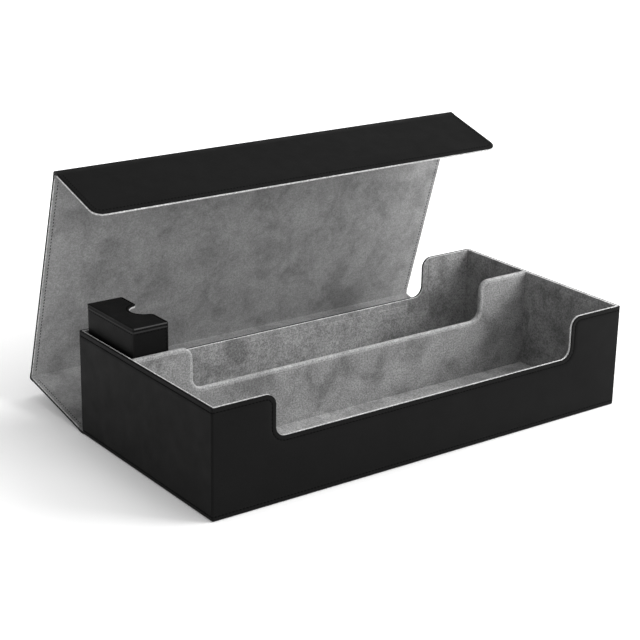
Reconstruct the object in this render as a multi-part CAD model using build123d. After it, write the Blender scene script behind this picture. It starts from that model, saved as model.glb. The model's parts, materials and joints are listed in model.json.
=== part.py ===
from build123d import *
import os

# Two-row card box with a three-panel folding lid and a small lift-out tray.
# Millimetres.  The origin is the centre of the underside.  +X runs along the
# rows, +Y points to the side that the lid is hinged on, and +Z is up.  The
# lid is drawn open, and the tray is drawn raised out of the rear row.

# Box body: outside size, and the three layers of every wall.
BOX_LENGTH = 440.0
BOX_WIDTH = 211.4
BOX_HEIGHT = 96.0
LEATHER = 0.7
BOARD = 2.3
SUEDE = 0.6

# Divider between the wide front row and the narrow rear row.
DIVIDER_Y = 19.7
DIVIDER_BOARD = 3.8

# Hand cut-out in the front wall, the divider and the back wall.
CUT_HALF_WIDTH = 160.0
CUT_FLOOR = 57.5
CUT_RADIUS = 10.0

# Lid panels: layers, and the set-back of each panel from its fold's axis.
PANEL_LEATHER = 0.6
PANEL_BOARD = 2.2
PANEL_SUEDE = 0.4
PANEL_SETBACK = 3.4
FLAP_REACH = 72.9
FLAP_CORNER = 10.0
LID_GAP = 0.45
GROUND_GAP = 0.05

# Open pose: the way each panel points, turning from +Y towards +Z.
REAR_ANGLE = 11.3
TOP_ANGLE = 106.6
FLAP_ANGLE = 196.6

# Closing magnets, set into the front wall and into the flap.
MAGNET_RADIUS = 5.0
MAGNET_THICKNESS = 1.6
MAGNET_PLAY = 0.1
MAGNET_X = (-140.0, 140.0)
MAGNET_Z = 35.5

# Tray: outside size, layers, place in the rear row and thumb notch.
TRAY_DEPTH = 33.5
TRAY_WIDTH = 77.0
TRAY_HEIGHT = 90.6
TRAY_LEATHER = 0.6
TRAY_BOARD = 1.8
TRAY_SUEDE = 0.4
TRAY_LEFT = -213.5
TRAY_FLOOR_GAP = 0.3
TRAY_LIFT = 26.0
NOTCH_RADIUS = 13.2
NOTCH_LIP = 4.4

# How near a corner has to be to a named point to count as that corner.
SAME_POINT = 0.05

# Planes of the body's layers.
HALF_X = BOX_LENGTH / 2
HALF_Y = BOX_WIDTH / 2
BOARD_X = HALF_X - LEATHER
BOARD_Y = HALF_Y - LEATHER
LINING_X = BOARD_X - BOARD
LINING_Y = BOARD_Y - BOARD
ROW_X = LINING_X - SUEDE
ROW_Y = LINING_Y - SUEDE
WALL_FOOT = LEATHER + BOARD
ROW_FLOOR = WALL_FOOT + SUEDE
BOARD_TOP = BOX_HEIGHT - SUEDE
DIVIDER_HALF = DIVIDER_BOARD / 2 + SUEDE

# Fold axes of the lid, each at the middle of the panels' thickness.
PANEL_HALF = (PANEL_LEATHER + PANEL_BOARD + PANEL_SUEDE) / 2
HINGE_Y = HALF_Y + LID_GAP + PANEL_HALF
HINGE_Z = PANEL_HALF + GROUND_GAP
REAR_REACH = BOX_HEIGHT + LID_GAP + PANEL_HALF - HINGE_Z
TOP_REACH = HINGE_Y + HALF_Y + LID_GAP + PANEL_HALF

# Sides of the tray.
TRAY_RIGHT = TRAY_LEFT + TRAY_DEPTH
TRAY_Y = (DIVIDER_Y + DIVIDER_HALF + ROW_Y) / 2
TRAY_FRONT = TRAY_Y - TRAY_WIDTH / 2
TRAY_REAR = TRAY_Y + TRAY_WIDTH / 2
TRAY_FOOT = ROW_FLOOR + TRAY_FLOOR_GAP + TRAY_LIFT
TRAY_TOP = TRAY_FOOT + TRAY_HEIGHT
TRAY_CORE = TRAY_LEATHER + TRAY_BOARD
TRAY_WALL = TRAY_CORE + TRAY_SUEDE


# ---------------------------------------------------------------- helpers


def block(x_span, y_span, z_span):
    """A rectangular solid between a low and a high coordinate on each axis."""
    low = Vector(x_span[0], y_span[0], z_span[0])
    high = Vector(x_span[1], y_span[1], z_span[1])
    size = high - low
    middle = (low + high) / 2
    return Pos(middle.X, middle.Y, middle.Z) * Box(size.X, size.Y, size.Z)


def rounded(face, corners, radius):
    """The face with the named corners rounded."""
    wanted = [Vector(*corner) for corner in corners]
    chosen = [v for v in face.vertices() if any((Vector(v) - w).length < SAME_POINT for w in wanted)]
    return fillet(chosen, radius)


def cut_wall(half_length, y_span, z_low, inset=0.0):
    """A wall along X with the hand cut-out; inset draws in its top and the cut-out's edge."""
    top = BOX_HEIGHT - inset
    side = CUT_HALF_WIDTH + inset
    floor = CUT_FLOOR - inset
    outline = Polyline(
        (-half_length, z_low),
        (half_length, z_low),
        (half_length, top),
        (side, top),
        (side, floor),
        (-side, floor),
        (-side, top),
        (-half_length, top),
        close=True,
    )
    face = make_face(outline)
    face = rounded(face, [(-side, top), (side, top)], CUT_RADIUS - inset)
    face = rounded(face, [(-side, floor), (side, floor)], CUT_RADIUS + inset)
    wall = extrude(Plane.XZ * face, amount=y_span[1] - y_span[0])
    return Pos(0, y_span[1], 0) * wall


def fold_bead():
    """The round bead of leather along a fold, with its axis on the X axis."""
    return Rot(0, 90, 0) * Cylinder(PANEL_HALF, BOX_LENGTH)


# ------------------------------------------------------------------- body


def body_floor():
    """The underside's leather, the floor board and the suede on each row's floor."""
    floor_z = (WALL_FOOT, ROW_FLOOR)
    return {
        "bottom_leather": block((-HALF_X, HALF_X), (-HALF_Y, HALF_Y), (0, LEATHER)),
        "floor_board": block((-BOARD_X, BOARD_X), (-BOARD_Y, BOARD_Y), (LEATHER, WALL_FOOT)),
        "front_row_floor_lining": block((-ROW_X, ROW_X), (-ROW_Y, DIVIDER_Y - DIVIDER_HALF), floor_z),
        "rear_row_floor_lining": block((-ROW_X, ROW_X), (DIVIDER_Y + DIVIDER_HALF, ROW_Y), floor_z),
    }


def front_magnets(radius):
    """Discs set into the front board from its outer face."""
    disc = Rot(90, 0, 0) * Cylinder(radius, MAGNET_THICKNESS)
    return Part() + [Pos(x, MAGNET_THICKNESS / 2 - BOARD_Y, MAGNET_Z) * disc for x in MAGNET_X]


def long_wall():
    """The front wall's leather, its board, and its suede turned over the top edge."""
    board_span = (-BOARD_Y, -LINING_Y)
    leather = cut_wall(HALF_X, (-HALF_Y, -BOARD_Y), LEATHER)
    board = cut_wall(BOARD_X, board_span, WALL_FOOT, inset=SUEDE)
    turned_edge = cut_wall(BOARD_X, board_span, WALL_FOOT) - board
    lining = turned_edge + cut_wall(LINING_X, (-LINING_Y, -ROW_Y), WALL_FOOT)
    return {"leather": leather, "board": board, "lining": lining}


def end_wall():
    """The right wall's three layers, which stand between the two long walls."""
    edge = block((LINING_X, BOARD_X), (-LINING_Y, LINING_Y), (BOARD_TOP, BOX_HEIGHT))
    face = block((ROW_X, LINING_X), (-ROW_Y, ROW_Y), (WALL_FOOT, BOX_HEIGHT))
    return {
        "leather": block((BOARD_X, HALF_X), (-BOARD_Y, BOARD_Y), (LEATHER, BOX_HEIGHT)),
        "board": block((LINING_X, BOARD_X), (-LINING_Y, LINING_Y), (WALL_FOOT, BOARD_TOP)),
        "lining": edge + face,
    }


def body_walls():
    """The four outer walls; the back and left walls are half turns of their partners."""
    half_turn = Rot(0, 0, 180)
    walls = {}
    for layer, solid in long_wall().items():
        walls["front_" + layer] = solid
        walls["back_" + layer] = half_turn * solid
    for layer, solid in end_wall().items():
        walls["right_" + layer] = solid
        walls["left_" + layer] = half_turn * solid
    walls["front_board"] -= front_magnets(MAGNET_RADIUS + MAGNET_PLAY)
    walls["front_magnets"] = front_magnets(MAGNET_RADIUS)
    return walls


def body_divider():
    """The divider's board, and the suede folded over it on both sides."""
    board_half = DIVIDER_BOARD / 2
    board = cut_wall(ROW_X, (-board_half, board_half), WALL_FOOT, inset=SUEDE)
    lining = cut_wall(ROW_X, (-DIVIDER_HALF, DIVIDER_HALF), WALL_FOOT) - board
    return {
        "divider_board": Pos(0, DIVIDER_Y, 0) * board,
        "divider_lining": Pos(0, DIVIDER_Y, 0) * lining,
    }


def body_hinge():
    """The strip of leather that runs on from the underside to the lid's rear fold."""
    strip = block((-HALF_X, HALF_X), (HALF_Y, HINGE_Y), (GROUND_GAP, LEATHER))
    return {"rear_hinge_leather": strip + Pos(0, HINGE_Y, HINGE_Z) * fold_bead()}


# -------------------------------------------------------------------- lid


def panel_sketch(reach, inset, free_edge):
    """A panel's outline, drawn in by inset, with round corners at a free edge."""
    half = HALF_X - inset
    near = PANEL_SETBACK + inset
    far = reach - inset if free_edge else reach - PANEL_SETBACK - inset
    face = Pos(0, (near + far) / 2) * Rectangle(2 * half, far - near)
    if free_edge:
        face = rounded(face, [(-half, far), (half, far)], FLAP_CORNER - inset)
    return face


def lid_panel(name, reach, free_edge=False):
    """A panel lying flat, leather down, with the axis of its near fold on the X axis."""
    outline = panel_sketch(reach, 0, free_edge)
    core = panel_sketch(reach, PANEL_LEATHER, free_edge)
    shell = Pos(0, 0, -PANEL_HALF) * extrude(outline, amount=PANEL_LEATHER + PANEL_BOARD)
    board = Pos(0, 0, PANEL_LEATHER - PANEL_HALF) * extrude(core, amount=PANEL_BOARD)
    lining = Pos(0, 0, PANEL_HALF - PANEL_SUEDE) * extrude(outline, amount=PANEL_SUEDE)
    return {name + "_leather": shell - board, name + "_board": board, name + "_lining": lining}


def flap_magnets(radius):
    """Discs set into the flap's board under its suede, facing those in the front wall."""
    from_fold = HINGE_Z + REAR_REACH - MAGNET_Z
    middle = PANEL_HALF - PANEL_SUEDE - MAGNET_THICKNESS / 2
    return Part() + [Pos(x, from_fold, middle) * Cylinder(radius, MAGNET_THICKNESS) for x in MAGNET_X]


def stood(parts, angle, axis_y, axis_z):
    """Flat parts turned up about the X axis and moved to their fold's axis."""
    place = Pos(0, axis_y, axis_z) * Rot(angle, 0, 0)
    return {name: place * part for name, part in parts.items()}


def far_fold(reach, angle, axis_y, axis_z):
    """Where a panel's far fold is, given its near fold and the way it points."""
    end = Vector(0, reach, 0).rotate(Axis.X, angle)
    return axis_y + end.Y, axis_z + end.Z


def lid():
    """Rear panel, top panel and flap in the open pose, with a bead along each fold."""
    top_axis = far_fold(REAR_REACH, REAR_ANGLE, HINGE_Y, HINGE_Z)
    flap_axis = far_fold(TOP_REACH, TOP_ANGLE, *top_axis)
    flap = lid_panel("flap", FLAP_REACH, free_edge=True)
    flap["flap_board"] -= flap_magnets(MAGNET_RADIUS + MAGNET_PLAY)
    flap["flap_magnets"] = flap_magnets(MAGNET_RADIUS)
    return {
        **stood(lid_panel("rear_panel", REAR_REACH), REAR_ANGLE, HINGE_Y, HINGE_Z),
        **stood({"top_fold_leather": fold_bead()}, TOP_ANGLE, *top_axis),
        **stood(lid_panel("top_panel", TOP_REACH), TOP_ANGLE, *top_axis),
        **stood({"flap_fold_leather": fold_bead()}, TOP_ANGLE, *flap_axis),
        **stood(flap, FLAP_ANGLE, *flap_axis),
    }


# ------------------------------------------------------------------- tray


def tray_block(inset):
    """The tray's outside drawn in by inset on its five closed sides, up to the open one."""
    x_span = (TRAY_LEFT + inset, TRAY_RIGHT)
    y_span = (TRAY_FRONT + inset, TRAY_REAR - inset)
    return block(x_span, y_span, (TRAY_FOOT + inset, TRAY_TOP - inset))


def notched(z_span, edge=0.0):
    """A level plate as large as the tray, with the thumb notch; edge draws the cut in."""
    side = TRAY_RIGHT - edge
    radius = NOTCH_RADIUS + edge
    plate = Pos((TRAY_LEFT + side) / 2, TRAY_Y) * Rectangle(side - TRAY_LEFT, TRAY_WIDTH)
    plate -= Pos(TRAY_RIGHT, TRAY_Y) * Circle(radius)
    half_mouth = (radius**2 - edge**2) ** 0.5
    lips = [(side, TRAY_Y - half_mouth), (side, TRAY_Y + half_mouth)]
    plate = rounded(plate, lips, NOTCH_LIP - edge)
    return Pos(0, 0, z_span[0]) * extrude(plate, amount=z_span[1] - z_span[0])


def tray():
    """The tray's five boards, its leather outside and its suede inside and on its edges."""
    board_right = TRAY_RIGHT - TRAY_SUEDE
    low_z = (TRAY_FOOT + TRAY_LEATHER, TRAY_FOOT + TRAY_CORE)
    mid_z = (TRAY_FOOT + TRAY_CORE, TRAY_TOP - TRAY_CORE)
    high_z = (TRAY_TOP - TRAY_CORE, TRAY_TOP - TRAY_LEATHER)
    side_x = (TRAY_LEFT + TRAY_CORE, board_right)
    full_y = (TRAY_FRONT + TRAY_LEATHER, TRAY_REAR - TRAY_LEATHER)
    back_x = (TRAY_LEFT + TRAY_LEATHER, TRAY_LEFT + TRAY_CORE)
    boards = {
        "tray_back_board": block(back_x, full_y, (low_z[0], high_z[1])),
        "tray_bottom_board": block(side_x, full_y, low_z),
        "tray_top_board": block(side_x, full_y, high_z) & notched(high_z, edge=TRAY_SUEDE),
        "tray_front_board": block(side_x, (full_y[0], TRAY_FRONT + TRAY_CORE), mid_z),
        "tray_rear_board": block(side_x, (TRAY_REAR - TRAY_CORE, full_y[1]), mid_z),
    }
    roof_z = (TRAY_TOP - TRAY_WALL, TRAY_TOP)
    cut = block((TRAY_LEFT, TRAY_RIGHT), (TRAY_FRONT, TRAY_REAR), roof_z) - notched(roof_z)
    core = tray_block(TRAY_LEATHER)
    lining = core - tray_block(TRAY_WALL) - list(boards.values()) - cut
    return {**boards, "tray_leather": tray_block(0) - core - cut, "tray_lining": lining}


os.makedirs("parts", exist_ok=True)
nodes = {**body_floor(), **body_walls(), **body_divider(), **body_hinge(), **lid(), **tray()}
for node, solid in nodes.items():
    export_step(solid, f"parts/{node}.step")
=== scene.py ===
import json
from bisect import bisect_right
from math import atan2, cos, degrees, pi, radians, sin, sqrt, tan

import bmesh
import bpy
from mathutils import Matrix, Vector


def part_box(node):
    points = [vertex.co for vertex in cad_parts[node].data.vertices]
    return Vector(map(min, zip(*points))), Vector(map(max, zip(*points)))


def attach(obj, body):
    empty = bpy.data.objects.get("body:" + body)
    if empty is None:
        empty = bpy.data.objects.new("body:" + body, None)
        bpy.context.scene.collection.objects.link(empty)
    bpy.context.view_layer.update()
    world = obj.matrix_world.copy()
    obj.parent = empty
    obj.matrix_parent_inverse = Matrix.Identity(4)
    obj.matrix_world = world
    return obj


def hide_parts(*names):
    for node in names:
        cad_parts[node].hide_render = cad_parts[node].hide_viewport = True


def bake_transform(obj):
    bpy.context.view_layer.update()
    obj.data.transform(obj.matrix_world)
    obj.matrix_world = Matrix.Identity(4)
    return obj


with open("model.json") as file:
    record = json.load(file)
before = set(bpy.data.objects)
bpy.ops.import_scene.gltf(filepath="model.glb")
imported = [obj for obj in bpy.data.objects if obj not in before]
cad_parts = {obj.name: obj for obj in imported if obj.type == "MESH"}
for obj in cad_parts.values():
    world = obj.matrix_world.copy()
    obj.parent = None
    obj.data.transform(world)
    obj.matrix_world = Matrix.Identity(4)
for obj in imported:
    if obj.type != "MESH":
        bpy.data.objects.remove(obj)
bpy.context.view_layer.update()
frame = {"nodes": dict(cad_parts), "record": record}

# Two-row card box with a three-panel folding lid and a small lift-out tray.
# Metres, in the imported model's frame: +X runs along the rows, +Y points to
# the side that the lid is hinged on, and +Z is up.

MM = 0.001

# Layers of the body's walls, its divider, the lid's panels and the tray.
LEATHER = 0.7 * MM
SUEDE = 0.6 * MM
PANEL_LEATHER = 0.6 * MM
PANEL_SUEDE = 0.4 * MM
PANEL_HALF = 1.6 * MM
PANEL_SETBACK = 3.4 * MM
FLAP_REACH = 72.9 * MM
TRAY_LEATHER = 0.6 * MM
TRAY_SUEDE = 0.4 * MM

# Hand cut-out in the front wall, the divider and the back wall.
CUT_HALF_WIDTH = 160 * MM
CUT_DROP = 38.5 * MM
CUT_RADIUS = 10 * MM

# Thumb notch in the tray, and the rounding where it meets the open edge.
NOTCH_RADIUS = 13.2 * MM
NOTCH_LIP = 4.4 * MM

# How far the leather turns in over the walls' top (front, right, back and left), up the
# edges of the rear and top panels, up the flap's edges, and over the tray's open edge.
RIM_TURNS = (1.1 * MM, 1.1 * MM, 1.9 * MM, 1.9 * MM)
PANEL_TURN = 2.7 * MM
FLAP_TURN = 1.5 * MM
TRAY_TURN = 1.2 * MM

# The gap where a panel's or the tray's leather and suede meet.
SKIN_GAP = 0.02 * MM

# Rounding of covered edges.
BODY_CORNER = 1.7 * MM
PANEL_CORNER = 1.4 * MM
FLAP_CORNER = 10 * MM
TRAY_CORNER = 1.1 * MM

# Sewing: how far it is from an edge, the size of a stitch, the half width and depth of
# the channel that it lies in, and the depth of the plain seams up the body's corners.
SEAM_INSET = 4.0 * MM
TRAY_SEAM_INSET = 2.2 * MM
STITCH_PITCH = 3.3 * MM
STITCH_LENGTH = 2.2 * MM
THREAD_RADIUS = 0.36 * MM
SEAM_HALF = 0.55 * MM
SEAM_DEPTH = 0.22 * MM
CORNER_SEAM = 0.32 * MM

# Two bands round the tray's top, with a crease between them: (top, foot) of each, as
# distances below the tray's top.
TRAY_BANDS = ((0.2 * MM, 1.4 * MM), (3.2 * MM, 4.6 * MM))
BAND_THICKNESS = 0.3 * MM

# Depths below the rim of rows that still follow its line, and heights over the floor of
# rows that no longer do.
SMOOTH = 8 * MM
HOLD = 9 * MM
LEVEL = 6 * MM
TRAY_SMOOTH = 3.4 * MM
TRAY_HOLD = 4.0 * MM
TRAY_LEVEL = 3 * MM

# The photograph's camera.
EYE = Vector((-0.8602, -1.1088, 0.5899))
AIM = Vector((-0.0412, 0.0, 0.1019))
ROLL = 1.05
LENS = 94.8


# -------------------------------------------------------------- node helpers


def new_material(name):
    """A node material: (material, function to add a node, function to link, shader)."""
    made = bpy.data.materials.new(name)
    made.use_nodes = True
    tree = made.node_tree
    shader = tree.nodes["Principled BSDF"]

    def add(kind, **values):
        node = tree.nodes.new(kind)
        for key, value in values.items():
            if hasattr(node, key):
                setattr(node, key, value)
            else:
                node.inputs[key.replace("_", " ")].default_value = value
        return node

    return made, add, tree.links.new, shader


def noise(add, link, coords, scale, detail=2.0, roughness=0.5, distortion=0.0):
    """A noise texture's value over the object's own coordinates."""
    node = add("ShaderNodeTexNoise", Scale=scale, Detail=detail,
               Roughness=roughness, Distortion=distortion)
    link(coords, node.inputs["Vector"])
    return node.outputs["Fac"]


def ramp(add, link, value, stops):
    """A colour ramp; stops are (position, grey or colour)."""
    node = add("ShaderNodeValToRGB")
    elements = node.color_ramp.elements
    while len(elements) < len(stops):
        elements.new(0.5)
    for element, (position, colour) in zip(elements, stops):
        element.position = position
        shade = (colour,) * 3 if isinstance(colour, (int, float)) else colour
        element.color = (*shade, 1.0)
    link(value, node.inputs["Fac"])
    return node.outputs["Color"]


def mix(add, link, blend, factor, first, second):
    """Two colours mixed; factor is a number or a socket."""
    node = add("ShaderNodeMix", data_type="RGBA", blend_type=blend)
    sockets = (node.inputs["Factor"], node.inputs[6], node.inputs[7])
    for socket, value in zip(sockets, (factor, first, second)):
        if isinstance(value, bpy.types.NodeSocket):
            link(value, socket)
        elif isinstance(value, (int, float)):
            socket.default_value = value
        else:
            socket.default_value = (*value, 1.0)
    return node.outputs[2]


def bump(add, link, height, strength, distance, below=None):
    """A bump from a height, on top of another bump if one is given."""
    node = add("ShaderNodeBump", Strength=strength, Distance=distance)
    link(height, node.inputs["Height"])
    if below is not None:
        link(below, node.inputs["Normal"])
    return node.outputs["Normal"]


def object_coords(add):
    return add("ShaderNodeTexCoord").outputs["Object"]


# ----------------------------------------------------------------- materials


def make_leather(name, tone, shine=0.052):
    """Smooth black imitation leather: pebble grain, faint clouding, and convex edges lightened
    partly as wear and partly as a painted highlight.
    """
    made, add, link, shader = new_material(name)
    coords = object_coords(add)
    wobble = noise(add, link, coords, 400, detail=3)
    bent = mix(add, link, "ADD", 0.0012, coords, wobble)
    pebble = add("ShaderNodeTexVoronoi", feature="SMOOTH_F1", Scale=850, Smoothness=0.6)
    link(bent, pebble.inputs["Vector"])
    grain = bump(add, link, pebble.outputs["Distance"], 0.30, 0.00022)
    pores = noise(add, link, coords, 3200, detail=2)
    grain = bump(add, link, pores, 0.12, 0.00010, below=grain)
    waves = noise(add, link, coords, 30, detail=1)
    grain = bump(add, link, waves, 0.08, 0.0018, below=grain)
    link(grain, shader.inputs["Normal"])

    clouds = noise(add, link, coords, 20, detail=4, roughness=0.55)
    base = ramp(add, link, clouds, [(0.3, tone * 0.88), (0.7, tone * 1.12)])
    # Pointy convex edges turn lighter in patches: partly wear, partly a painted highlight along
    # them.
    edges = add("ShaderNodeNewGeometry").outputs["Pointiness"]
    scuffed_sheen = ramp(add, link, edges, [(0.52, 0.0), (0.60, 1.0)])
    patchy = ramp(add, link, noise(add, link, coords, 60, detail=4), [(0.45, 0.2), (0.75, 0.7)])
    scuff_and_sheen_mask = mix(add, link, "MULTIPLY", 1.0, scuffed_sheen, patchy)
    scuff_and_sheen_tone = (0.024, 0.024, 0.024)
    link(mix(add, link, "MIX", scuff_and_sheen_mask, base, scuff_and_sheen_tone), shader.inputs["Base Color"])
    gloss = noise(add, link, coords, 70, detail=4)
    link(ramp(add, link, gloss, [(0.3, 0.46), (0.7, 0.54)]), shader.inputs["Roughness"])
    shader.inputs["Specular IOR Level"].default_value = shine
    return made


def make_suede(name, tone, patch_depth=1.0, grain_depth=0.9):
    """Brushed microfibre: a nap that lies in patches and strokes, over a fibrous grain."""
    made, add, link, shader = new_material(name)
    coords = object_coords(add)
    patches = noise(add, link, coords, 34, detail=5, roughness=0.58, distortion=0.4)
    strokes = noise(add, link, coords, 130, detail=4, roughness=0.65, distortion=0.4)
    fibres = noise(add, link, coords, 640, detail=5, roughness=0.78)
    shade = 0.36 * patch_depth
    stops = [(0.36, tone * (1 - shade)), (0.50, tone * (1 - shade / 3)), (0.64, tone)]
    colour = ramp(add, link, patches, stops)
    brushed = ramp(add, link, strokes, [(0.34, 0.82), (0.64, 1.0)])
    colour = mix(add, link, "MULTIPLY", 0.9, colour, brushed)
    grain = ramp(add, link, fibres, [(0.38, 0.36), (0.60, 1.0)])
    colour = mix(add, link, "MULTIPLY", grain_depth, colour, grain)
    link(colour, shader.inputs["Base Color"])
    pile = bump(add, link, fibres, 0.6, 0.0005)
    link(bump(add, link, strokes, 0.3, 0.0008, below=pile), shader.inputs["Normal"])
    shader.inputs["Roughness"].default_value = 0.95
    shader.inputs["Specular IOR Level"].default_value = 0.1
    shader.inputs["Sheen Weight"].default_value = 0.12
    shader.inputs["Sheen Roughness"].default_value = 0.5
    return made


def make_thread():
    """Black twisted sewing thread."""
    made, add, link, shader = new_material("black_thread")
    coords = object_coords(add)
    twist = noise(add, link, coords, 5200, detail=2)
    link(ramp(add, link, twist, [(0.3, 0.002), (0.7, 0.006)]), shader.inputs["Base Color"])
    link(bump(add, link, twist, 0.5, 0.0001), shader.inputs["Normal"])
    shader.inputs["Roughness"].default_value = 0.7
    shader.inputs["Specular IOR Level"].default_value = 0.02
    return made


def make_greyboard():
    """Grey bookbinder's board, with its mixed fibres."""
    made, add, link, shader = new_material("greyboard")
    coords = object_coords(add)
    pulp = noise(add, link, coords, 900, detail=6, roughness=0.7)
    tones = [(0.3, (0.17, 0.16, 0.145)), (0.7, (0.30, 0.285, 0.26))]
    link(ramp(add, link, pulp, tones), shader.inputs["Base Color"])
    link(bump(add, link, pulp, 0.4, 0.0002), shader.inputs["Normal"])
    shader.inputs["Roughness"].default_value = 0.95
    return made


def make_magnet():
    """Bright nickel plating with fine handling marks."""
    made, add, link, shader = new_material("nickel_plate")
    coords = object_coords(add)
    marks = noise(add, link, coords, 1400, detail=5)
    link(ramp(add, link, marks, [(0.3, 0.60), (0.7, 0.72)]), shader.inputs["Base Color"])
    link(ramp(add, link, marks, [(0.3, 0.16), (0.7, 0.32)]), shader.inputs["Roughness"])
    shader.inputs["Metallic"].default_value = 1.0
    return made


leather = make_leather("black_leather", 0.0056)
# Darker, duller leather for the floor of the rim seam's channel and the tray's crease: painted
# shade in these recesses.
painted_shade_leather = make_leather("painted_shade_leather", 0.002, 0.01)
# Lighter leathers for the tray's bands: painted highlights along them, the brighter one on the
# tray's -Y side.
painted_highlight_leather = make_leather("painted_highlight_leather", 0.030)
painted_bright_highlight_leather = make_leather("painted_bright_highlight_leather", 0.075)
suede = make_suede("grey_suede", 0.485, patch_depth=1.15)
# The lid's lining is the same grey suede in a darker tone: painted shade on the lid's inner side.
shaded_lid_suede = make_suede("shaded_lid_suede", 0.405, patch_depth=0.8, grain_depth=0.55)
# Lighter suede on the divider's rounded top: a painted highlight.
divider_highlight_suede = make_suede("painted_highlight_suede", 0.61, patch_depth=0.7)
raw_edge = make_suede("cut_suede_edge", 0.92, patch_depth=0.35)
thread = make_thread()
greyboard = make_greyboard()
nickel = make_magnet()


# ------------------------------------------------------------ outlines, rows

OUTWARD = (Vector((0, -1)), Vector((1, 0)), Vector((0, 1)), Vector((-1, 0)))
CORNER_STEPS = 6


def arc(centre, radius, start, end, steps):
    """Points on an arc, with the unit vector from its centre to each; angles in degrees."""
    found = []
    for step in range(steps + 1):
        angle = radians(start + (end - start) * step / steps)
        out = (cos(angle), sin(angle))
        found.append(((centre[0] + radius * out[0], centre[1] + radius * out[1]), out))
    return found


def rim_run(arcs):
    """Stations (place along the rim, rise, way into the material) on a run of arcs.

    An arc is (centre, radius, start, end, convex, steps), and a convex one has the
    material at its centre.
    """
    run = []
    for centre, radius, start, end, convex, steps in arcs:
        sign = -1 if convex else 1
        for (where, rise), out in arc(centre, radius, start, end, steps):
            run.append((where, rise, (sign * out[0], sign * out[1])))
    return run


def hand_cut_out():
    """The wide cut-out: two convex lips, and two round corners at its floor."""
    lip = CUT_HALF_WIDTH + CUT_RADIUS
    root = CUT_HALF_WIDTH - CUT_RADIUS
    floor = CUT_RADIUS - CUT_DROP
    return rim_run([
        ((-lip, -CUT_RADIUS), CUT_RADIUS, 90, 0, True, 10),
        ((-root, floor), CUT_RADIUS, 180, 270, False, 10),
        ((root, floor), CUT_RADIUS, 270, 360, False, 10),
        ((lip, -CUT_RADIUS), CUT_RADIUS, 180, 90, True, 10),
    ])


def thumb_notch():
    """The round notch, with a small convex lip on each side."""
    lip = sqrt(NOTCH_RADIUS**2 + 2 * NOTCH_RADIUS * NOTCH_LIP)
    lean = degrees(atan2(NOTCH_LIP, lip))
    return rim_run([
        ((-lip, -NOTCH_LIP), NOTCH_LIP, 90, lean, True, 7),
        ((0, 0), NOTCH_RADIUS, 180 + lean, 360 - lean, False, 20),
        ((lip, -NOTCH_LIP), NOTCH_LIP, 180 - lean, 90, True, 7),
    ])


class Outline:
    """A rounded rectangle walked anticlockwise from its low-b side, with cut-outs in its rim.

    A cut-out's stations are (side, place along, rise, way in), and a corner's are
    (side before it, turn from 0 to 1, None, None).  An inset is one number, or one for
    each side, and seam is the depth of a groove up each corner.
    """

    def __init__(self, half_a, half_b, corners, cuts=None, seam=0.0):
        self.halves = (half_b, half_a, half_b, half_a)
        self.corners = corners
        self.seam = seam
        self.stations = []
        for side in range(4):
            for where, rise, into in (cuts or {}).get(side, ()):
                self.stations.append((side, where, rise, into))
            for step in range(CORNER_STEPS + 1):
                self.stations.append((side, step / CORNER_STEPS, None, None))
        self.plain = [i for i, station in enumerate(self.stations) if station[2] is None]

    def corner(self, side, turn, inset):
        """A point on the corner after a side, and the unit vector out of it."""
        after = (side + 1) % 4
        insets = inset if isinstance(inset, tuple) else (inset,) * 4
        radius = max(self.corners[side] - (insets[side] + insets[after]) / 2, 0)
        reach = self.halves[side] - insets[side] - radius
        reach_after = self.halves[after] - insets[after] - radius
        out = OUTWARD[side] * cos(turn * pi / 2) + OUTWARD[after] * sin(turn * pi / 2)
        seam_step = 1 if side % 2 else CORNER_STEPS - 1
        if round(turn * CORNER_STEPS) == seam_step:
            radius = max(radius - self.seam, 0)
        return OUTWARD[side] * reach + OUTWARD[after] * reach_after + out * radius, out

    def point(self, station, inset, depth):
        """(a, b, rise from the rim) of a station, drawn in by inset and down by depth."""
        side, where, rise, into = station
        if rise is None:
            spot, _ = self.corner(side, where, inset)
            return spot.x, spot.y, -depth
        travel = OUTWARD[(side + 1) % 4]
        drawn_in = inset[side] if isinstance(inset, tuple) else inset
        spot = travel * (where + into[0] * depth) + OUTWARD[side] * (self.halves[side] - drawn_in)
        return spot.x, spot.y, rise + into[1] * depth

    def out(self, station):
        """The direction out of the outline at a station."""
        side, where, rise, _ = station
        return OUTWARD[side] if rise is not None else self.corner(side, where, 0)[1]

    def path(self, place, rim, depth=0.0, inset=0.0):
        """The points and outward directions of a line that follows the rim at a depth."""
        points, ways = [], []
        for station in self.stations:
            a, b, rise = self.point(station, inset, depth)
            out = self.out(station)
            points.append(place @ Vector((a, b, rim + rise)))
            ways.append(place.to_3x3() @ Vector((out.x, out.y, 0)))
        return points, ways


def grooved(kind, level, way, finish=0):
    """Rows across a seam's shallow channel in an outer face, whose floor has the finish.

    way is 1 where level grows from row to row, and -1 where it shrinks.
    """
    edge, floor = SEAM_HALF * way, SEAM_HALF * way / 3
    return [
        (kind, 0, level - edge, 0),
        (kind, SEAM_DEPTH, level - floor, finish),
        (kind, SEAM_DEPTH, level + floor, 0),
        (kind, 0, level + edge, 0),
    ]


def rolled(kind, centre, radius, start, end, steps, finish):
    """Rows round an edge: an arc in the (inset, level) plane."""
    spots = arc(centre, radius, start, end, steps)
    return [(kind, inset, level, finish) for (inset, level), _ in spots]


# -------------------------------------------------------------- mesh builders


# Points closer than this are joined.
SAME_SPOT = 0.004 * MM


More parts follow.
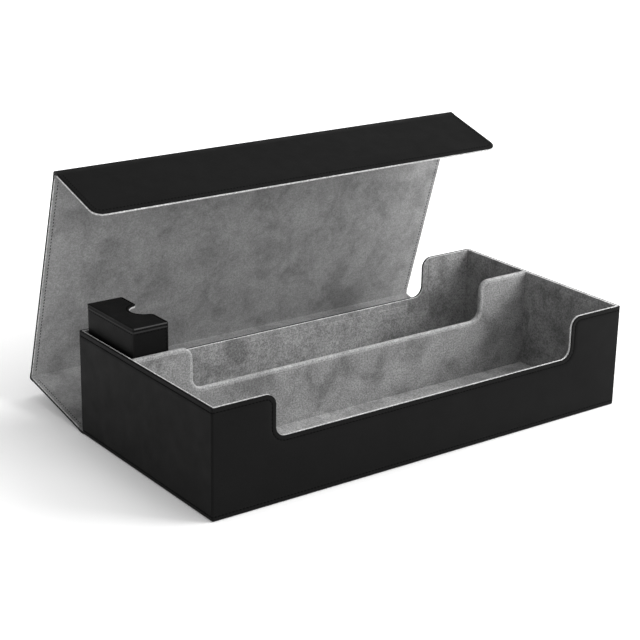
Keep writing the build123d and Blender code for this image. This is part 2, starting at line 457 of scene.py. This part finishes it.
def finished(name, mesh_data, materials, sharp=35):
    """An object from a mesh, shaded smooth except over edges sharper than an angle."""
    for item in materials:
        mesh_data.materials.append(item)
    mesh_data.shade_smooth()
    mesh_data.set_sharp_from_angle(angle=radians(sharp))
    made = bpy.data.objects.new(name, mesh_data)
    bpy.context.scene.collection.objects.link(made)
    return made


def from_bmesh(name, work, materials):
    """Closes up a bmesh and makes it an object."""
    bmesh.ops.remove_doubles(work, verts=work.verts, dist=SAME_SPOT)
    bmesh.ops.recalc_face_normals(work, faces=work.faces)
    data = bpy.data.meshes.new(name)
    work.to_mesh(data)
    work.free()
    return finished(name, data, materials)


def lofted(name, outline, rows, place, materials, rim=0.0, ring=False, meets=False):
    """A closed skin through rows that go round an outline.

    A row is (kind, inset, level, finish).  "rim" follows the rim's line at a depth of
    level, and "flat" stands at a height of level.  finish is the material's number from
    that row to the next.  The first and last rows are capped, or joined for a ring, and
    a last row that meets itself in a line needs no cap.
    """
    work = bmesh.new()
    made = []
    for kind, inset, level, _ in rows:
        line = {}
        picks = range(len(outline.stations)) if kind == "rim" else outline.plain
        for i in picks:
            a, b, rise = outline.point(outline.stations[i], inset, level)
            height = rim + rise if kind == "rim" else level
            line[i] = work.verts.new(place @ Vector((a, b, height)))
        made.append(line)

    def face(verts, finish):
        unique = [v for i, v in enumerate(verts) if v is not verts[i - 1]]
        work.faces.new(unique).material_index = finish

    def band(low, high, finish):
        """Faces between two rows; where only one follows the cut-outs, they widen to fit it."""
        shared = list(low) if len(low) == len(high) else outline.plain
        count = len(outline.stations)
        for here, there in zip(shared, shared[1:] + shared[:1]):
            span = [(here + k) % count for k in range((there - here) % count + 1)]
            bottom = [low[i] for i in span if i in low]
            top = [high[i] for i in span if i in high]
            face(bottom + top[::-1], finish)

    for index in range(len(rows) - 1):
        band(made[index], made[index + 1], rows[index][3])
    if ring:
        band(made[-1], made[0], rows[-1][3])
    else:
        face(list(made[0].values())[::-1], rows[0][3])
        if not meets:
            face(list(made[-1].values()), rows[-1][3])
    return from_bmesh(name, work, materials)


def ribbon(name, section, half_length, materials):
    """A strip along X with a closed (y, z) section."""
    work = bmesh.new()
    ends = [[work.verts.new((x, y, z)) for y, z in section] for x in (-half_length, half_length)]
    for i in range(len(section)):
        work.faces.new((ends[0][i - 1], ends[0][i], ends[1][i], ends[1][i - 1]))
    work.faces.new(ends[0])
    work.faces.new(ends[1][::-1])
    return from_bmesh(name, work, materials)


def channel(name, lines, materials, finish):
    """A strip whose section's corners run along lines of as many points, closed at its ends.

    finish(corner, step) gives the material's number of the face before a corner.
    """
    work = bmesh.new()
    made = [[work.verts.new(spot) for spot in line] for line in lines]
    for i, line in enumerate(made):
        for k in range(len(line) - 1):
            side = work.faces.new((made[i - 1][k], line[k], line[k + 1], made[i - 1][k + 1]))
            side.material_index = finish(i, k)
    work.faces.new([line[0] for line in made])
    work.faces.new([line[-1] for line in made][::-1])
    return from_bmesh(name, work, materials)


def running_lengths(points, closed):
    """The distance from a line's start to each point, and back to the start if closed."""
    line = points + points[:1] if closed else points
    lengths = [0.0]
    for here, there in zip(line, line[1:]):
        lengths.append(lengths[-1] + (there - here).length)
    return lengths


def at(values, lengths, distance):
    """A value on the way along a line, between the ones at its points."""
    i = min(bisect_right(lengths, distance), len(lengths) - 1)
    step = lengths[i] - lengths[i - 1]
    share = (distance - lengths[i - 1]) / step if step else 0.0
    return values[i - 1].lerp(values[i % len(values)], share)


def stitch(verts, faces, start, end, up):
    """One stitch: a bowed thread that dips into the cover at both ends."""
    forward = (end - start).normalized()
    side = forward.cross(up).normalized()
    first = len(verts)
    rings, around = 5, 6
    rise, sink, slant = 1.15, 0.75, 1.0
    tip_width, swell, flatness = 0.65, 0.45, 0.85
    for ring in range(rings):
        share = ring / (rings - 1)
        bow = sin(pi * share)
        middle = start.lerp(end, share) + up * THREAD_RADIUS * (rise * bow - sink)
        middle += side * THREAD_RADIUS * slant * (share - 0.5)
        width = THREAD_RADIUS * (tip_width + swell * bow)
        for step in range(around):
            angle = 2 * pi * step / around
            across, over = width * cos(angle), width * flatness * sin(angle)
            verts.append(middle + side * across + up * over)
    for ring in range(rings - 1):
        for step in range(around):
            a = first + ring * around + step
            b = first + ring * around + (step + 1) % around
            faces.append((a, b, b + around, a + around))
    faces.append(tuple(range(first + around - 1, first - 1, -1)))
    last = first + (rings - 1) * around
    faces.append(tuple(range(last, last + around)))


def stitched(name, body, runs):
    """One mesh of stitches along runs of (points, ways up, closed), riding on a body."""
    verts, faces = [], []
    for points, ups, closed in runs:
        lengths = running_lengths(points, closed)
        count = int(lengths[-1] / STITCH_PITCH)
        pitch = lengths[-1] / count
        for number in range(count):
            start = (number + 0.5) * pitch - STITCH_LENGTH / 2
            end = start + STITCH_LENGTH
            up = at(ups, lengths, (start + end) / 2).normalized()
            stitch(verts, faces, at(points, lengths, start), at(points, lengths, end), up)
    data = bpy.data.meshes.new(name)
    data.from_pydata([tuple(v) for v in verts], [], faces)
    made = finished(name, data, [thread], sharp=60)
    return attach(made, body)


# ---------------------------------------------------------------------- body


def corner_of(node, index):
    """A node's lowest (0) or highest (1) corner."""
    return Vector(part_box(node)[index])


BODY_HIGH = Vector((*corner_of("bottom_leather", 1).xy, corner_of("front_leather", 1).z))
FLOOR_UNDER = corner_of("front_row_floor_lining", 0).z
WALL = BODY_HIGH.x + corner_of("front_row_floor_lining", 0).x

UPRIGHT = Matrix.Identity(4)
CUTS = {0: hand_cut_out(), 2: hand_cut_out()}
# The suede that turns over a wall's top ends this far down inside, and stands this proud.
HEM = 6.0 * MM
HEM_STEP = 0.3 * MM
# The hidden sides of the skins stop this far from where the layers meet.
TUCK = 0.1 * MM
FOOT_UNDER = FLOOR_UNDER + TUCK


def turned_in(more):
    """The insets, one per side, of a line along the edge of the turned-in leather."""
    return tuple(turn + more for turn in RIM_TURNS)


def make_body_cover():
    """The leather that wraps the walls and the underside, turned in at the rim."""
    corners = (BODY_CORNER,) * 4
    outline = Outline(BODY_HIGH.x, BODY_HIGH.y, corners, CUTS, seam=CORNER_SEAM)
    foot = 1.3 * MM
    roll = 0.45 * MM
    ease, dip = 0.25 * MM, 0.12 * MM
    rows = [("flat", 8 * MM, 0, 0)]
    rows += rolled("flat", (foot, foot), foot, 270, 180, 5, 0)
    rows += [("flat", 0, LEVEL / 2, 0)]
    rows += grooved("flat", SEAM_INSET, 1)
    rows += [("flat", 0, LEVEL, 0), ("rim", 0, HOLD, 0), ("rim", 0, SMOOTH, 0)]
    # The channel's floor gets the darker leather: painted shade in the groove.
    rows += grooved("rim", SEAM_INSET, -1, finish=1)
    rows += [("rim", 0, 2 * roll, 0)]
    rows += rolled("rim", (roll, roll), roll, 180, 270, 4, 0)
    rows += [
        ("rim", turned_in(-ease), 0, 0),
        ("rim", turned_in(0), dip, 0),
        ("rim", turned_in(0), SUEDE, 0),
        ("rim", LEATHER, SUEDE + TUCK, 0),
        ("rim", LEATHER, HOLD, 0),
        ("flat", LEATHER, LEVEL, 0),
        ("flat", LEATHER, LEATHER, 0),
    ]
    cover = lofted("body_leather_cover", outline, rows, UPRIGHT,
                   [leather, painted_shade_leather], rim=BODY_HIGH.z)
    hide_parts("bottom_leather", "front_leather", "back_leather", "left_leather", "right_leather")
    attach(cover, "box")
    rim_seam = outline.path(UPRIGHT, BODY_HIGH.z, depth=SEAM_INSET)
    foot_seam = Outline(BODY_HIGH.x, BODY_HIGH.y, corners).path(UPRIGHT, SEAM_INSET)
    stitched("body_stitching", "box", [(*rim_seam, True), (*foot_seam, True)])


def make_body_lining():
    """The suede on the inner walls, which turns over the boards' tops to the leather."""
    outline = Outline(BODY_HIGH.x, BODY_HIGH.y, (BODY_CORNER,) * 4, CUTS)
    round_over = 0.7 * MM
    lap, soft = 0.05 * MM, 0.3 * MM
    hidden = WALL - SUEDE
    rows = [
        ("rim", turned_in(-lap), soft, 1),
        ("rim", turned_in(lap), soft / 3, 1),
        ("rim", turned_in(soft), 0, 1),
    ]
    turned = WALL - HEM_STEP - round_over
    rows += rolled("rim", (turned, round_over), round_over, 270, 315, 2, 1)
    rows += rolled("rim", (turned, round_over), round_over, 330, 360, 2, 0)
    rows += [
        ("rim", WALL - HEM_STEP, HEM, 0),
        ("rim", WALL, HEM + HEM_STEP / 2, 0),
        ("rim", WALL, HOLD, 0),
        ("flat", WALL, LEVEL, 0),
        ("flat", WALL, FOOT_UNDER, 0),
        ("flat", hidden, FOOT_UNDER, 0),
        ("flat", hidden, LEVEL, 0),
        ("rim", hidden, HOLD, 0),
        ("rim", hidden, SUEDE, 0),
        ("rim", turned_in(0), SUEDE, 1),
    ]
    lining = lofted("body_lining", outline, rows, UPRIGHT,
                    [suede, raw_edge], rim=BODY_HIGH.z, ring=True)
    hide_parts("front_lining", "back_lining", "left_lining", "right_lining")
    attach(lining, "box")


def make_row_floor(node):
    """The suede pad on a row's floor, with soft edges where it meets the walls."""
    low, high = corner_of(node, 0), corner_of(node, 1)
    middle = (low + high) / 2
    soft = 0.45 * MM
    outline = Outline((high.x - low.x) / 2, (high.y - low.y) / 2, (0.6 * MM,) * 4)
    rows = [("flat", 0, low.z, 0)]
    rows += rolled("flat", (soft, high.z - soft), soft, 180, 90, 4, 0)
    rows += [("flat", 4 * MM, high.z, 0)]
    place = Matrix.Translation((middle.x, middle.y, 0))
    pad = lofted(node.replace("_lining", "_pad"), outline, rows, place, [suede])
    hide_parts(node)
    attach(pad, "box")


def make_divider():
    """The suede folded over the divider's board, with a soft round top edge in lighter suede, a
    painted highlight.
    """
    low, high = corner_of("divider_lining", 0), corner_of("divider_lining", 1)
    half = (high.y - low.y) / 2
    tucked = 2.4 * MM
    soft = 1.8 * MM
    # Depth below the rim where the lighter suede of the painted highlight starts.
    scuffed_sheen = 3.4 * MM
    outline = Outline(high.x + tucked, half, (0.5 * MM,) * 4, CUTS)
    rows = [
        ("flat", 0, FOOT_UNDER, 0),
        ("flat", 0, LEVEL, 0),
        ("rim", 0, HOLD, 0),
        ("rim", 0, SMOOTH, 0),
        ("rim", 0, scuffed_sheen, 1),
    ]
    rows += rolled("rim", (soft, soft), soft, 180, 270, 7, 1)
    rows += [("rim", half, 0, 1)]
    place = Matrix.Translation((0, (low.y + high.y) / 2, 0))
    cover = lofted("divider_cover", outline, rows, place,
                   [suede, divider_highlight_suede], rim=high.z, meets=True)
    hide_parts("divider_lining")
    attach(cover, "box")


# ----------------------------------------------------------------------- lid


class Panel:
    """A lid panel's place: the axis of its near fold, its length, and the way it points."""

    def __init__(self, axis, way, reach):
        self.axis = axis
        self.way = way
        self.reach = reach
        self.inner = Vector((0, -way.z, way.y))

    def place(self, middle):
        """The matrix from (x, way along from middle, height inwards) to the frame's axes."""
        turn = Matrix((Vector((1, 0, 0)), self.way, self.inner)).transposed().to_4x4()
        return Matrix.Translation(self.axis + self.way * middle) @ turn

    def yz(self, distance, height):
        """(y, z) of a point this far along, and this high on the inner side."""
        spot = self.axis + self.way * distance + self.inner * height
        return spot.y, spot.z


def joint_place(name):
    """A point on a joint's axis."""
    joints = frame["record"]["behaviour"]["joints"]
    return next(Vector(joint["pos_m"]) for joint in joints if joint["name"] == name)


def panel_between(near, far):
    """The panel from one fold's axis to the next."""
    return Panel(near, (far - near).normalized(), (far - near).length)


REAR_AXIS = joint_place("rear_fold")
TOP_AXIS = joint_place("top_fold")
FLAP_AXIS = joint_place("flap_fold")
HALF_LENGTH = corner_of("top_panel_leather", 1).x
# A fold's strip stands this proud of the panels, and laps this far onto them.
PANEL_SKIN = 0.03 * MM
FOLD_OVERLAP = 1.2 * MM
# The strip's ends stay this far inside the panels' ends.
FOLD_SHORT = 0.1 * MM

# The lower fold starts level at the body's foot, as if from a short flat panel.
BASE_REACH = 10 * MM
base = Panel(REAR_AXIS - Vector((0, BASE_REACH, 0)), Vector((0, 1, 0)), BASE_REACH)
rear_panel = panel_between(REAR_AXIS, TOP_AXIS)
top_panel = panel_between(TOP_AXIS, FLAP_AXIS)
flap = Panel(FLAP_AXIS, top_panel.inner, FLAP_REACH)


def make_panel(name, panel, far, corners, leather_turn=PANEL_TURN):
    """A panel's leather and suede, which meet on its edges, and its free edges' sewing."""
    near = PANEL_SETBACK
    outline = Outline(HALF_LENGTH, (far - near) / 2, corners)
    place = panel.place((near + far) / 2)
    fold = 0.7 * MM
    lip = 0.12 * MM
    hem = PANEL_LEATHER - 0.05 * MM
    turn = leather_turn - PANEL_HALF
    board_top = PANEL_HALF - PANEL_SUEDE
    rows = [("flat", 4 * MM, -PANEL_HALF, 0)]
    rows += rolled("flat", (fold, fold - PANEL_HALF), fold, 270, 180, 4, 0)
    rows += [
        ("flat", 0, turn - lip, 0),
        ("flat", lip, turn, 0),
        ("flat", hem, turn, 0),
        ("flat", hem, PANEL_LEATHER - PANEL_HALF, 0),
    ]
    cover = lofted(name + "_cover", outline, rows, place, [leather])
    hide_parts(name + "_leather")
    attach(cover, name)

    soft = 0.35 * MM
    edge = 0.06 * MM
    rows = [
        ("flat", 1.2 * MM, board_top, 0),
        ("flat", hem, board_top, 1),
        ("flat", hem, turn + SKIN_GAP, 1),
        ("flat", edge, turn + SKIN_GAP, 1),
    ]
    rows += rolled("flat", (edge + soft, PANEL_HALF - soft), soft, 180, 90, 3, 1)
    rows += [("flat", edge + 2 * soft, PANEL_HALF, 0), ("flat", 5 * MM, PANEL_HALF, 0)]
    inside = lofted(name + "_suede", outline, rows, place, [shaded_lid_suede, raw_edge])
    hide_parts(name + "_lining")
    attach(inside, name)

    runs = []
    turns = CORNER_STEPS + 1
    for height, up in ((-PANEL_HALF, -panel.inner), (PANEL_HALF, panel.inner)):
        line, _ = outline.path(place, height, inset=SEAM_INSET)
        if corners[1] > corners[0]:
            runs.append((line[turns - 1:3 * turns + 1], up))
        else:
            for start in (turns - 1, 3 * turns - 1):
                runs.append((line[start:start + 2], up))
    runs = [(line, [up] * len(line), False) for line, up in runs]
    stitched(name + "_stitching", name, runs)


def outer_path(before, after, radius, reach, span):
    """(y, z) points round the outside of a fold, over a span of its turn from 0 to 1."""
    turn = before.way.angle(after.way)
    steps = 10
    found = [before.yz(before.reach - reach, -radius)] if span[0] == 0 else []
    for step in range(steps + 1):
        share = span[0] + (span[1] - span[0]) * step / steps
        out = Matrix.Rotation(turn * share, 3, "X") @ -before.inner
        found.append(tuple((after.axis + out * radius).yz))
    return found + ([after.yz(reach, -radius)] if span[1] == 1 else [])


def inner_path(before, after, height, radius, reach, span):
    """(y, z) points inside a fold, rounded where the panels' inner sides would meet."""
    turn = before.way.angle(after.way)
    raised = height + radius
    centre = after.axis + after.way * raised * tan(turn / 2) + after.inner * raised
    steps = 8
    found = [before.yz(before.reach - reach, height)] if span[0] == 0 else []
    for step in range(steps + 1):
        share = span[0] + (span[1] - span[0]) * step / steps
        out = Matrix.Rotation(turn * share, 3, "X") @ -before.inner
        found.append(tuple((centre + out * radius).yz))
    return found + ([after.yz(reach, height)] if span[1] == 1 else [])


def make_fold(name, before, after, bodies, node):
    """The leather outside a fold and the suede inside it, as strips round the fold at rest.

    With three bodies each strip is made in two halves, which meet halfway round the fold.
    """
    reach = PANEL_SETBACK + FOLD_OVERLAP
    outer = PANEL_HALF + PANEL_SKIN
    glue = PANEL_HALF - PANEL_SUEDE - 0.2 * MM
    round_inside = 2.52 * MM
    turn = before.way.angle(after.way)
    suffixes = ("",) if len(bodies) == 2 else ("_lower", "_upper")
    halves = len(suffixes)
    strips = [(part, number) for part in ("leather", "suede") for number in range(halves)]
    for part, number in strips:
        span = (number / halves, (number + 1) / halves)
        middle = inner_path(before, after, glue, round_inside - glue, reach, span)
        if part == "leather":
            edge = outer_path(before, after, outer, reach, span)
        else:
            edge = inner_path(before, after, outer, round_inside - outer, reach, span)
        label = name + "_" + part + suffixes[number]
        skin = [leather if part == "leather" else shaded_lid_suede]
        strip = ribbon(label, edge + middle[::-1], HALF_LENGTH - FOLD_SHORT, skin)
        if part == "leather" and number == 0:
            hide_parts(node)
        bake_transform(strip)


def make_lid():
    """Three panels, and the folds that join them to each other and to the box."""
    square = (PANEL_CORNER,) * 4
    make_panel("rear_panel", rear_panel, rear_panel.reach - PANEL_SETBACK, square)
    make_panel("top_panel", top_panel, top_panel.reach - PANEL_SETBACK, square)
    rounded = (PANEL_CORNER, FLAP_CORNER, FLAP_CORNER, PANEL_CORNER)
    make_panel("flap", flap, flap.reach, rounded, FLAP_TURN)
    make_fold("base_hinge", base, rear_panel, ("box", "rear_panel"), "rear_hinge_leather")
    bodies = ("rear_panel", "top_fold", "top_panel")
    make_fold("top_hinge", rear_panel, top_panel, bodies, "top_fold_leather")
    make_fold("flap_hinge", top_panel, flap, ("top_panel", "flap"), "flap_fold_leather")


# ---------------------------------------------------------------------- tray


def make_tray():
    """The tray's leather, its suede inside and on the open edge, and the sewing."""
    low, high = corner_of("tray_leather", 0), corner_of("tray_leather", 1)
    wall = corner_of("tray_back_board", 1).x - low.x + TRAY_SUEDE
    middle = (low + high) / 2
    sideways = Matrix(((0, 0, 1, 0), (1, 0, 0, middle.y), (0, 1, 0, middle.z), (0, 0, 0, 1)))
    half_width, half_height = (high.y - low.y) / 2, (high.z - low.z) / 2
    outline = Outline(half_width, half_height, (TRAY_CORNER,) * 4, {2: thumb_notch()})
    back = 0.9 * MM
    roll = 0.35 * MM
    rows = [("flat", 5 * MM, low.x, 0)]
    rows += rolled("flat", (back, low.x + back), back, 270, 180, 5, 0)
    rows += [
        ("flat", 0, low.x + TRAY_LEVEL, 0),
        ("rim", 0, TRAY_HOLD, 0),
        ("rim", 0, TRAY_SMOOTH, 0),
    ]
    rows += grooved("rim", TRAY_SEAM_INSET, -1)
    rows += [("rim", 0, 2 * roll, 0)]
    rows += rolled("rim", (roll, roll), roll, 180, 270, 4, 0)
    rows += [
        ("rim", TRAY_TURN, 0, 0),
        ("rim", TRAY_TURN, TRAY_SUEDE, 0),
        ("rim", TRAY_LEATHER, TRAY_SUEDE + TUCK, 0),
        ("rim", TRAY_LEATHER, TRAY_HOLD, 0),
        ("flat", TRAY_LEATHER, low.x + TRAY_LEVEL, 0),
        ("flat", TRAY_LEATHER, low.x + TRAY_LEATHER, 0),
    ]
    cover = lofted("tray_cover", outline, rows, sideways, [leather], rim=high.x)
    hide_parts("tray_leather")
    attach(cover, "tray")

    soft = 0.5 * MM
    cut_depth, cut_width = 0.08 * MM, 0.3 * MM
    hidden = wall - TRAY_SUEDE
    rows = [
        ("flat", hidden, low.x + hidden, 0),
        ("rim", hidden, TRAY_HOLD, 0),
        ("rim", hidden, TRAY_SUEDE, 0),
        ("rim", TRAY_TURN + SKIN_GAP, TRAY_SUEDE, 1),
        ("rim", TRAY_TURN + SKIN_GAP, cut_depth, 1),
        ("rim", TRAY_TURN + cut_width, 0, 1),
    ]
    rows += rolled("rim", (wall - soft, soft), soft, 270, 360, 4, 1)
    rows += [
        ("rim", wall, TRAY_SMOOTH, 0),
        ("rim", wall, TRAY_HOLD, 0),
        ("flat", wall, low.x + wall + soft, 0),
        ("flat", wall + soft, low.x + wall, 0),
        ("flat", 6 * MM, low.x + wall, 0),
    ]
    lining = lofted("tray_inside", outline, rows, sideways, [suede, raw_edge], rim=high.x)
    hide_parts("tray_lining")
    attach(lining, "tray")

    flat = Outline((high.x - low.x) / 2, (high.y - low.y) / 2, (0.9 * MM,) * 4)
    over = Matrix.Translation((middle.x, middle.y, 0))
    turns = CORNER_STEPS + 1

    def three_sides(height, inset):
        """A line round the tray's closed sides: its +Y side, its back and its -Y side."""
        points, ways = flat.path(over, height, inset=inset)
        return points[2 * turns - 1:] + points[:1], ways[2 * turns - 1:] + ways[:1]

    sunk, slope = 0.1 * BAND_THICKNESS, BAND_THICKNESS / 2
    section = []
    for top, foot in TRAY_BANDS:
        section += [(sunk, top), (-BAND_THICKNESS, top + slope)]
        section += [(-BAND_THICKNESS, foot - slope), (sunk, foot)]
    lines = [three_sides(high.z - drop, inset)[0] for inset, drop in section]
    crease, upper, lower = 4, (1, 2, 3), (5, 6, 7)

    def finish(part, step):
        """The crease is darker leather, painted shade; the lower band is lighter leather, a
        painted highlight, and the upper band on the tray's -Y side is lighter still, a brighter
        painted highlight.
        """
        front = step == len(lines[0]) - 2
        if part == crease:
            return 1
        if front and part in upper:
            return 3
        return 2 if front or part in lower else 0

    skins = [leather, painted_shade_leather, painted_highlight_leather, painted_bright_highlight_leather]
    band = channel("tray_top_band", lines, skins, finish)
    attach(band, "tray")

    points, ways = outline.path(sideways, high.x, TRAY_SEAM_INSET)
    run = slice(outline.plain[turns - 1], outline.plain[3 * turns] + 1)
    below_bands = TRAY_BANDS[1][1] + 1.0 * MM
    side_seam = three_sides(high.z - below_bands, 0.0)
    runs = [(points[run], ways[run], False), (*side_seam, False)]
    stitched("tray_stitching", "tray", runs)


# ------------------------------------------------------- boards and magnets


def finish_frame_nodes():
    """Gives the boards and magnets, which keep their own shapes, their materials."""
    for name, node in frame["nodes"].items():
        if name.endswith("_board"):
            finish = greyboard
        elif name.endswith("_magnets"):
            finish = nickel
        else:
            finish = suede if name.endswith("_lining") else leather
        node.data.materials.clear()
        node.data.materials.append(finish)


# --------------------------------------------------------------------- stage


def looking(place, aim):
    """The matrix of a light or camera at a place that looks at a point."""
    turn = (aim - place).to_track_quat("-Z", "Y").to_matrix().to_4x4()
    return Matrix.Translation(place) @ turn


def area_light(name, place, aim, side, power):
    """A square soft light."""
    data = bpy.data.lights.new(name, "AREA")
    data.shape = "RECTANGLE"
    data.size = data.size_y = side
    data.energy = power
    made = bpy.data.objects.new(name, data)
    bpy.context.scene.collection.objects.link(made)
    made.matrix_world = looking(place, aim)


def make_floor():
    """A plain pale floor, which glows more with distance, so that it fades to white."""
    half = 6.0
    drop = 0.3 * MM
    data = bpy.data.meshes.new("studio_floor")
    ends = ((-half, -half), (half, -half), (half, half), (-half, half))
    data.from_pydata([(x, y, -drop) for x, y in ends], [], [(0, 1, 2, 3)])
    made, add, link, shader = new_material("pale_floor")
    coords = object_coords(add)
    tone = noise(add, link, coords, 3, detail=2)
    link(ramp(add, link, tone, [(0.3, 0.94), (0.7, 0.96)]), shader.inputs["Base Color"])
    shader.inputs["Roughness"].default_value = 0.9
    shader.inputs["Specular IOR Level"].default_value = 0.1
    # Painted light: the floor's emission rises with distance from the box and also lightens the
    # box's shadow on the floor.
    away = add("ShaderNodeVectorMath", operation="LENGTH")
    link(coords, away.inputs[0])
    glow = add("ShaderNodeMapRange", From_Min=0.1, From_Max=0.9, To_Min=0.05, To_Max=0.7)
    link(away.outputs["Value"], glow.inputs["Value"])
    shader.inputs["Emission Color"].default_value = (1, 1, 1, 1)
    link(glow.outputs["Result"], shader.inputs["Emission Strength"])
    data.materials.append(made)
    floor = bpy.data.objects.new("studio_floor", data)
    bpy.context.scene.collection.objects.link(floor)


def make_world():
    """White surroundings, dimmer towards the back left."""
    world = bpy.data.worlds.new("studio")
    world.use_nodes = True
    tree = world.node_tree
    facing = tree.nodes.new("ShaderNodeTexCoord")
    towards = tree.nodes.new("ShaderNodeVectorMath")
    towards.operation = "DOT_PRODUCT"
    towards.inputs[1].default_value = (-0.8, 0.6, 0)
    tree.links.new(facing.outputs["Generated"], towards.inputs[0])
    dimmer = tree.nodes.new("ShaderNodeMapRange")
    limits = {"From Min": -0.6, "From Max": 0.7, "To Min": 0.75, "To Max": 0.3}
    for socket, value in limits.items():
        dimmer.inputs[socket].default_value = value
    tree.links.new(towards.outputs["Value"], dimmer.inputs["Value"])
    background = tree.nodes["Background"]
    tree.links.new(dimmer.outputs["Result"], background.inputs["Strength"])
    background.inputs["Color"].default_value = (1, 1, 1, 1)
    bpy.context.scene.world = world
    bpy.context.scene.view_settings.view_transform = "Standard"


def make_camera():
    """The photograph's camera."""
    lens = bpy.data.cameras.new("photo_camera")
    lens.lens = LENS
    camera = bpy.data.objects.new("photo_camera", lens)
    bpy.context.scene.collection.objects.link(camera)
    camera.matrix_world = looking(EYE, AIM) @ Matrix.Rotation(radians(ROLL), 4, "Z")
    bpy.context.scene.camera = camera


def make_stage():
    """The floor, the surroundings, two soft lights and the camera."""
    make_floor()
    make_world()
    aim = Vector((0, 0, 0.08))
    area_light("key", Vector((1.15, -1.0, 1.0)), aim, 0.9, 24)
    area_light("top", Vector((0.3, -0.4, 2.4)), aim, 1.6, 18)
    make_camera()


finish_frame_nodes()
make_body_cover()
make_body_lining()
make_row_floor("front_row_floor_lining")
make_row_floor("rear_row_floor_lining")
make_divider()
make_lid()
make_tray()
make_stage()
